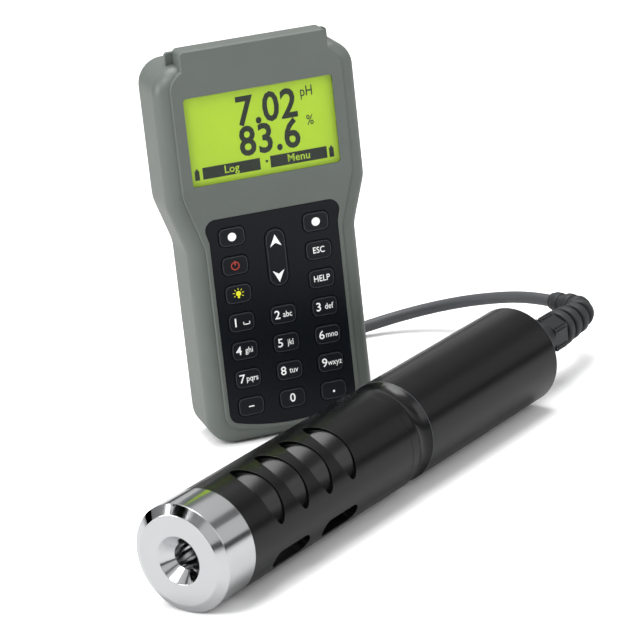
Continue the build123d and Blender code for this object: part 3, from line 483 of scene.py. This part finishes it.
@dataclass(frozen=True)
class ProbeAxis:
    """The line that the probe lies along.

    Attributes:
        start: middle of the cap's face, in millimetres.
        angle: from +X towards +Y, in radians.
    """

    start: Point = (-100.11, -194.03, 23.0)
    angle: float = math.radians(38.26)

    def place(self, distance: float) -> Matrix:
        """Place on the axis for a shape turned about +Z, at millimetres from the cap's face."""
        heading = Vector((math.cos(self.angle), math.sin(self.angle), 0))
        side = Vector((math.sin(self.angle), -math.cos(self.angle), 0))
        basis = Matrix((side, heading.cross(side), heading)).transposed().to_4x4()
        return Matrix.Translation((Vector(self.start) + heading * distance) * MM) @ basis


class Keypad:
    """Legends of the keys, and painted highlights along their edges.

    Attributes:
        front: how far out the printed legends lie.
        highlight_front: how far out the painted edge highlights lie.
        highlight_line: width of the painted edge highlights.
        columns: x of the three columns of keys.
        first_row: z of the soft keys' row.
        pitch: from one row to the next one below.
        letters: what stands beside each of the digits 1 to 9.
        digit_size, letter_size, word_size: letter sizes of the legends.
    """

    front = 18.03
    highlight_front = front - 0.04
    highlight_line = 0.22
    columns = (-19.7, 0.0, 19.7)
    first_row = 98.4
    pitch = 13.4
    letters = ("", "abc", "def", "ghi", "jkl", "mno", "pqrs", "tuv", "wxyz")
    digit_size = 5.7
    letter_size = 3.9
    word_size = 4.1

    def __init__(self, maker: Maker) -> None:
        self.maker = maker

    def row(self, index: int) -> float:
        """Height of a row of keys, counted down from the soft keys' row."""
        return self.first_row - index * self.pitch

    def at(self, x: float, z: float) -> Point:
        """Place of a legend."""
        return (x, self.front, z)

    def around(self, x: float, z: float, radius: float, turn: float) -> Point:
        """Place of a legend's part at a radius and an angle in radians from a point."""
        return self.at(x + radius * math.cos(turn), z + radius * math.sin(turn))

    def ink(self, body: str, finish: str = "legend_white") -> Ink:
        """Ink of a print on a key."""
        return Ink(finish, "key_rubber", body)

    def edge_highlight(self, body: str, x: float, z: float) -> None:
        """Painted highlight: a fine lighter outline near a key's edge, where light catches its
        rounded edge.
        """
        width, height, corner = 11.2, 7.8, 2.3
        self.maker.outline(
            f"rim_{body}", width, height, corner, self.highlight_line, (x, self.highlight_front, z),
            self.ink(body, "highlight_grey"),
        )

    def build(self) -> None:
        """Makes every legend and every painted edge highlight."""
        self.digits()
        self.space()
        self.bottom_row()
        self.soft_keys()
        left, right = self.columns[0], self.columns[2]
        self.edge_highlight("key_power", left, self.row(1))
        self.power(left, self.row(1))
        self.edge_highlight("key_lamp", left, self.row(2))
        self.lamp(left, self.row(2))
        for row, (words, body) in enumerate((("ESC", "key_escape"), ("HELP", "key_help")), 1):
            self.edge_highlight(body, right, self.row(row))
            self.maker.text(
                f"word_{body}", words, self.word_size, self.at(right, self.row(row)),
                self.ink(body), bold=0.03, narrow=0.84,
            )
        self.rocker()

    def digits(self) -> None:
        """Digits 1 to 9, each with its letters."""
        for index, letters in enumerate(self.letters):
            digit = str(index + 1)
            body = f"key_{digit}"
            x, z = self.columns[index % 3], self.row(3 + index // 3)
            self.edge_highlight(body, x, z)
            self.maker.text(
                f"digit_{digit}", digit, self.digit_size, self.at(x - 2.9, z), self.ink(body),
                bold=0.05,
            )
            if letters:
                self.maker.text(
                    f"letters_{digit}", letters, self.letter_size, self.at(x + 1.9, z - 0.1),
                    self.ink(body), bold=0.02, narrow=0.82,
                )

    def space(self) -> None:
        """Space sign on the key of the 1: a flat line with an end turned up on each side."""
        x, z = self.columns[0] + 2.2, self.row(3) - 1.2
        self.maker.plate("space_foot", 3.2, 0.45, self.at(x, z), self.ink("key_1"))
        for side in (-1, 1):
            at = self.at(x + side * 1.4, z + 0.5)
            self.maker.plate(f"space_end_{side + 1}", 0.4, 1.4, at, self.ink("key_1"))

    def bottom_row(self) -> None:
        """Zero, minus and point."""
        left, _, right = self.columns
        z = self.row(6)
        self.edge_highlight("key_0", 0, z)
        self.maker.text("digit_0", "0", self.digit_size, self.at(0, z), self.ink("key_0"), 0.06)
        self.edge_highlight("key_minus", left, z)
        self.maker.plate("sign_minus", 2.6, 0.55, self.at(left, z), self.ink("key_minus"))
        self.edge_highlight("key_point", right, z)
        self.maker.disc("sign_point", 0.55, self.at(right, z - 0.6), self.ink("key_point"))

    def soft_keys(self) -> None:
        """A spot on each of the two soft keys."""
        for side, body in ((0, "key_soft_left"), (2, "key_soft_right")):
            x, z = self.columns[side], self.row(0)
            self.edge_highlight(body, x, z)
            self.maker.disc(f"spot_{body}", 1.95, self.at(x, z), self.ink(body))

    def power(self, x: float, z: float) -> None:
        """Red power sign: an open ring of short plates, and a bar in the opening."""
        parts, first, sweep, radius = 13, 125, 290, 1.75
        ink = self.ink("key_power", "legend_red")
        for step in range(parts):
            turn = math.radians(first + step * sweep / (parts - 1))
            at = self.around(x, z - 0.1, radius, turn)
            self.maker.plate(f"power_arc_{step}", 0.5, 0.95, at, ink, math.degrees(turn))
        self.maker.plate("power_bar", 0.5, 2.1, self.at(x, z + 1.2), ink)

    def lamp(self, x: float, z: float) -> None:
        """Yellow bulb with rays."""
        rays, first, gap, radius = 7, -30, 40, 2.2
        ink = self.ink("key_lamp", "legend_yellow")
        self.maker.disc("lamp_bulb", 1.2, self.at(x, z + 0.2), ink)
        self.maker.plate("lamp_base", 0.95, 0.9, self.at(x, z - 1.4), ink)
        for step in range(rays):
            turn = math.radians(first + step * gap)
            at = self.around(x, z + 0.2, radius, turn)
            self.maker.plate(f"lamp_ray_{step}", 0.85, 0.3, at, ink, math.degrees(turn))

    def rocker(self) -> None:
        """Painted highlight along the rocker's edge, and its two arrows."""
        width, height, corner, middle = 8.2, 25.8, 4.05, 85.2
        self.maker.outline(
            "highlight_key_up_down", width, height, corner, self.highlight_line, (0, self.highlight_front, middle),
            self.ink("rocker", "highlight_grey"),
        )
        for name, z, tilt in (("up", 93.0, 0.0), ("down", 76.6, 180.0)):
            self.arrow(f"arrow_{name}", z, tilt)

    def arrow(self, name: str, z: float, tilt: float) -> None:
        """Arrowhead with a notched foot, moved into shape from a flat four-sided disc.

        Args:
            name: the piece's name.
            z: its height.
            tilt: turn in its plane, in degrees; at 0 it points up.
        """
        tip, notch, foot, half_width, near = 3.0, -0.9, -2.6, 2.7, 0.5
        bpy.ops.object.select_all(action="DESELECT")
        bpy.ops.mesh.primitive_cylinder_add(vertices=4, radius=tip * MM, depth=PRINT_DEPTH * MM)
        for vertex in bpy.context.object.data.vertices:
            x, y = vertex.co.x, vertex.co.y
            if y < -near * MM:
                vertex.co.y = notch * MM
            elif abs(x) > near * MM:
                vertex.co.y = foot * MM
                vertex.co.x = math.copysign(half_width * MM, x)
        place = facing(*self.at(0, z)) @ turned(tilt)
        self.maker.settle(name, self.ink("rocker"), place)


class Display:
    """What the display shows: two plain readings, their units and the bars above the soft keys.

    Attributes:
        front: how far out the pixels lie.
        middle: height of the display's middle.
        word_lift: how far the bars' words lie in front of the bars.
        ink: of what is drawn dark on the display.
        cut_out: ink of the bars' words, in the display's own colour.
        readings: name, words, size, place across and up from the middle, boldness and narrowing.
        bars: name, word, place across and width.
        batteries: name and place across.
    """

    front = 14.92
    middle = 143.8
    word_lift = 0.05
    ink = Ink("pixel_dark", "display_film", "meter")
    cut_out = Ink("display_film", "display_film", "meter")
    readings = (
        ("reading_upper", "7.02", 18.6, 3.6, 9.2, 0.42, 0.86),
        ("reading_lower", "83.6", 18.6, 3.6, -4.6, 0.42, 0.86),
        ("unit_upper", "pH", 6.6, 22.6, 14.0, 0.05, 0.75),
        ("unit_lower", "%", 6.4, 23.0, 0.6, 0.05, 0.8),
    )
    bars = (("left", "Log", -15.4, 26.8), ("right", "Menu", 16.0, 26.6))
    batteries = (("left", -31.4), ("right", 31.4))

    def __init__(self, maker: Maker) -> None:
        self.maker = maker

    def at(self, x: float, z: float, lift: float = 0.0) -> Point:
        """Place from the display's middle, lifted out of the pixels' plane."""
        return (x, self.front + lift, self.middle + z)

    def build(self) -> None:
        """Makes the readings, the bars with their words, the batteries and the page mark."""
        m = self.maker
        for name, words, size, x, z, bold, narrow in self.readings:
            m.text(name, words, size, self.at(x, z), self.ink, bold, narrow)
        for name, words, x, width in self.bars:
            m.plate(f"bar_{name}", width, 5.4, self.at(x, -15.2), self.ink)
            at = self.at(x, -15.1, self.word_lift)
            m.text(f"bar_word_{name}", words, 5.0, at, self.cut_out, bold=0.05, narrow=0.95)
        for name, x in self.batteries:
            m.plate(f"battery_{name}", 2.2, 4.4, self.at(x, -15.7), self.ink)
            m.plate(f"battery_{name}_nub", 1.0, 0.8, self.at(x, -13.1), self.ink)
        m.disc("page_mark", 1.0, self.at(1.1, -14.6), self.ink, sides=3, tilt=180.0)


@dataclass(frozen=True)
class Cord:
    """The probe's cable: its shown run, the coil of the unseen length and the tail to the plug.

    Attributes:
        diameter: of the cable, in millimetres.
        length: of the cable, in metres; not used.
        centre: x and y of the coil's middle.
        layers: radii of the coil's turns, from the innermost.
        rows: how many flat spirals lie on each other.
        lift: gap between the floor and the lowest row.
        steps: control points in one turn.
        closing: control points that the last row goes on for, towards the tail.
        run: control points from the probe's relief to the coil.
        tail: control points from the coil to the plug.
    """

    diameter: float = 6.0
    length: float = 4.0
    centre: tuple[float, float] = (17.0, 62.0)
    layers: tuple[float, ...] = (21.0, 27.0, 33.0, 39.0)
    rows: int = 5
    lift: float = 0.07
    steps: int = 24
    closing: int = 17
    run: tuple[Point, ...] = (
        (147.808, 31.569, 23.0), (143.4, 41.6, 22.6), (137.9, 53.6, 21.2), (130.6, 65.9, 18.9),
        (119.4, 80.2, 15.5), (105.6, 92.3, 11.5), (88.6, 100.6, 7.5), (70.9, 102.8, 4.4),
        (53.0, 102.2, 3.3), (35.0, 101.3, 3.05),
    )
    tail: tuple[Point, ...] = (
        (51.4, 57.6, 28.2), (53.5, 66.9, 30.4), (52.1, 76.4, 33.4), (46.1, 84.7, 36.8),
        (36.9, 89.1, 39.2), (26.8, 89.0, 39.5),
    )

    def around(self, radius: float, step: int, z: float) -> Point:
        """Point of the coil at a radius, so many steps from the +Y side."""
        turn = math.radians(90) + 2 * math.pi * step / self.steps
        x, y = self.centre
        return (x + radius * math.cos(turn), y + radius * math.sin(turn), z)

    def coil(self) -> list[Point]:
        """Turns laid in flat spirals, one row above the other, inwards and outwards by turns."""
        points = []
        row_steps = len(self.layers) * self.steps
        for row in range(self.rows):
            radii = self.layers if row % 2 else self.layers[::-1]
            z = self.diameter / 2 + self.lift + row * self.diameter
            points += [
                self.around(radii[step // self.steps], step, z) for step in range(row_steps)
            ]
        ending = range(row_steps, row_steps + self.closing)
        return points + [self.around(radii[-1], step, z) for step in ending]

    def build(self, paints: Paints) -> bpy.types.Object:
        """Makes the whole cable as one curve.

        Args:
            paints: where its material comes from.

        Returns:
            The cable.
        """
        points = [*self.run, *self.coil(), *self.tail]
        spline = add_curve("NURBS", points)
        spline.order_u = 3
        spline.use_endpoint_u = True
        cable = bpy.context.object
        data = cable.data
        data.dimensions = "3D"
        data.bevel_depth = self.diameter / 2 * MM
        data.bevel_resolution = 4
        data.use_fill_caps = True
        data.resolution_u = 3
        cable.name = data.name = "cable"
        data.materials.append(paints("cable_jacket"))
        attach(cable, "meter")
        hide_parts("probe_cable", "cable_coil", "cable_tail")
        log.info("made the cable of %d points", len(points))
        return cable


class Probe:
    """Fine rings, lines and ribs on the probe, at distances from the cap's face; two of the rings
    are painted highlights.

    Attributes:
        partings: name, first and last distance and body of the moulding lines.
        parting_place: radius and degrees from straight up of the moulding lines.
        parting_wire: the moulding lines' own radius.
        lines: distances of the two lighter rings at the body's ends, painted highlights where light
            catches its end edges.
        nut: first and last distance of the ribs on the gland's nut.
        nut_sides: how many flats the nut has.
        sensor_offset, sensor_turn: the oxygen sensor's radius and angle from straight up.
    """

    partings = (
        ("shield_parting", (98.6, 135.2), "guard"),
        ("body_parting", (153.5, 256.6), "meter"),
    )
    parting_place = (23.0, 49.0)
    parting_wire = 0.13
    lines = (151.9, 257.4)
    nut = (283.4, 292.0)
    nut_sides = 6
    sensor_offset = 9.4
    sensor_turn = math.radians(40.0)

    def __init__(self, maker: Maker) -> None:
        self.maker = maker
        self.axis = ProbeAxis()

    def build(self) -> None:
        """Makes the body's painted highlight rings, the oxygen sensor's ring, the moulding lines
        and the ribs.
        """
        # Painted highlight: lighter grey rings at the body's two end edges, where light catches the
        # chamfers.
        ink = Ink("highlight_grey", "probe_plastic", "meter")
        for index, distance in enumerate(self.lines):
            place = self.axis.place(distance)
            self.maker.ring(f"probe_edge_highlight_{index}", 22.93, 0.12, place, ink)
        ink = Ink("sensor_plastic", "sensor_plastic", "meter")
        self.maker.ring("sensor_ring", 7.0, 0.45, self.axis.place(60.5) @ self.sensor(), ink)
        for name, span, body in self.partings:
            ink = Ink("probe_plastic", "probe_plastic", body)
            self.rod(name, span, self.parting_place, self.parting_wire, ink)
        self.ribs()

    def ribs(self) -> None:
        """Three ribs on each side of the gland's nut, the outer two a little further in."""
        radius, outer_drop, apart, wire = 9.62, 0.24, 7, 0.3
        ink = Ink("gland_plastic", "gland_plastic", "meter")
        for side in range(self.nut_sides):
            for step in (-1, 0, 1):
                degrees = 360 // self.nut_sides * side + apart * step
                spot = (radius - outer_drop * abs(step), degrees)
                self.rod(f"nut_rib_{side}_{step + 1}", self.nut, spot, wire, ink)

    def sensor(self) -> Matrix:
        """Step from the probe's axis to the oxygen sensor's, in a cross plane of the probe."""
        return self.aside(self.sensor_offset, self.sensor_turn)

    @staticmethod
    def aside(radius: float, turn: float) -> Matrix:
        """Step away from the probe's axis by a radius, at an angle from straight up."""
        return Matrix.Translation((radius * MM * math.sin(turn), -radius * MM * math.cos(turn), 0))

    def rod(
        self, name: str, span: tuple[float, float], spot: tuple[float, float], wire: float, ink: Ink
    ) -> None:
        """Fine raised line along the probe.

        Args:
            name: the piece's name.
            span: first and last distance.
            spot: radius from the axis, and degrees from straight up.
            wire: the line's own radius.
            ink: finish, slot and body.
        """
        start, end = span
        radius, degrees = spot
        bpy.ops.object.select_all(action="DESELECT")
        bpy.ops.mesh.primitive_cylinder_add(
            vertices=10, radius=wire * MM, depth=(end - start) * MM
        )
        place = self.axis.place((start + end) / 2) @ self.aside(radius, math.radians(degrees))
        self.maker.settle(name, ink, place)


class Studio:
    """Camera, floor, backdrop and lights.

    Attributes:
        spot: where the camera stands, in metres.
        right: the picture's right in the scene.
        up: the picture's up in the scene.
        low_band, high_band, side_band: limits of the dark bands that shiny things mirror.
    """

    spot = Vector((-0.33058, -1.27122, 0.46178))
    right = Vector((0.94938, -0.29677, -0.10301))
    up = Vector((0.18383, 0.25893, 0.94824))
    lens = 168.75
    sensor_width = 36
    low_band = (0.02, 0.16)
    high_band = (0.5, 0.62)
    side_band = (-0.95, -0.7)

    def camera(self) -> None:
        """Camera fitted to the photograph."""
        bpy.ops.object.camera_add()
        camera = bpy.context.object
        basis = Matrix((self.right, self.up, self.right.cross(self.up))).transposed().to_4x4()
        camera.matrix_world = Matrix.Translation(self.spot) @ basis
        camera.data.lens = self.lens
        camera.data.sensor_width = self.sensor_width
        camera.data.clip_start, camera.data.clip_end = 0.05, 50
        bpy.context.scene.camera = camera

    def floor(self) -> bpy.types.Object:
        """White floor that keeps the shadows and is mirrored darker than it is."""
        white, grey = (0.98, 0.98, 0.98, 1), (0.5, 0.5, 0.5, 1)
        bpy.ops.mesh.primitive_plane_add(size=12, location=(0, 0, -0.0001))
        floor = bpy.context.object
        floor.name = "floor"
        material = bpy.data.materials.new("floor_white")
        graph = Graph(material)
        path = graph.make("ShaderNodeLightPath", {}, {})
        seen = graph.make("ShaderNodeBsdfDiffuse", {}, {"Color": white})
        mirrored = graph.make("ShaderNodeBsdfDiffuse", {}, {"Color": grey})
        both = graph.mix(path.outputs["Is Glossy Ray"], seen, mirrored)
        graph.end("ShaderNodeOutputMaterial", both)
        floor.data.materials.append(material)
        return floor

    def light(
        self, name: str, place: Point, aim: Point, size: float, power: float
    ) -> bpy.types.Object:
        """Square soft light.

        Args:
            name: the light's name.
            place: where it hangs, in metres.
            aim: what it points at, in metres.
            size: side of the square, in metres.
            power: in watts.

        Returns:
            The light.
        """
        bpy.ops.object.light_add(type="AREA", location=place)
        lamp = bpy.context.object
        lamp.name = name
        lamp.data.size = size
        lamp.data.energy = power
        lamp.rotation_euler = (Vector(aim) - Vector(place)).to_track_quat("-Z", "Y").to_euler()
        return lamp

    def world(self) -> None:
        """White to the camera; soft bright surroundings with dark bands to shiny things."""
        brightest, darkening, plain_level = 0.62, 0.56, 0.72
        world = bpy.data.worlds.new("surroundings")
        bpy.context.scene.world = world
        graph = Graph(world)
        path = graph.make("ShaderNodeLightPath", {}, {})
        place = graph.make("ShaderNodeTexCoord", {}, {}).outputs["Generated"]
        split = graph.make("ShaderNodeSeparateXYZ", {}, {0: place})
        height = graph.value(split, 2)
        across = graph.value(split, 0)
        dark = (
            height.between(*self.low_band)
            + height.between(*self.high_band) * 0.8
            + across.between(*self.side_band) * 0.7
        )
        level = brightest - dark * darkening
        seen, around, plain = (
            graph.make("ShaderNodeBackground", {}, {"Color": WHITE, "Strength": strength})
            for strength in (1.0, level, plain_level)
        )
        shiny = graph.mix(path.outputs["Is Glossy Ray"], plain, around)
        whole = graph.mix(path.outputs["Is Camera Ray"], shiny, seen)
        graph.end("ShaderNodeOutputWorld", whole)

    def build(self) -> None:
        """Sets everything up."""
        self.camera()
        self.floor()
        self.light("key_light", (-0.9, -0.7, 1.3), (0, 0, 0.08), 0.7, 12.0)
        self.light("fill_light", (0.9, -1.0, 0.9), (0.05, 0, 0.08), 0.9, 5.0)
        self.light("side_light", (-1.3, -0.05, 0.45), (-0.04, 0, 0.1), 0.5, 7.0)
        self.light("top_light", (0.1, 0.3, 1.6), (0, 0, 0.05), 1.1, 26.0)
        self.world()
        bpy.context.scene.view_settings.view_transform = "Standard"


def dress(frame: dict, paints: Paints) -> None:
    """Gives each CAD node the finish of its material slot.

    Args:
        paints: where the materials come from.
    """
    slots = {row["node"]: row["material_slot"] for row in frame["record"]["subparts"]}
    for name, node in frame["nodes"].items():
        node.data.materials.clear()
        node.data.materials.append(paints(slots[name]))


def main(frame: dict) -> None:
    """Builds the whole scene."""
    logging.basicConfig(level=logging.INFO)
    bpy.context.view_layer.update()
    paints = Paints()
    Studio().build()
    Cord().build(paints)
    dress(frame, paints)
    maker = Maker(paints)
    Display(maker).build()
    Keypad(maker).build()
    Probe(maker).build()


with open("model.json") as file:
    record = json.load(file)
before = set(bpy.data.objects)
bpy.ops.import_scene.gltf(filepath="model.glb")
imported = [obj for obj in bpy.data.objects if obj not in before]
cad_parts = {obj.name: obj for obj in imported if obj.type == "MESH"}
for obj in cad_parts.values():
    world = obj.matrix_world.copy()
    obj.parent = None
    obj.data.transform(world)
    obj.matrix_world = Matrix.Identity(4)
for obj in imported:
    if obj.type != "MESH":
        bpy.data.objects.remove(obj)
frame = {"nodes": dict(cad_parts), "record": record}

if __name__ == "__main__":
    main(frame)
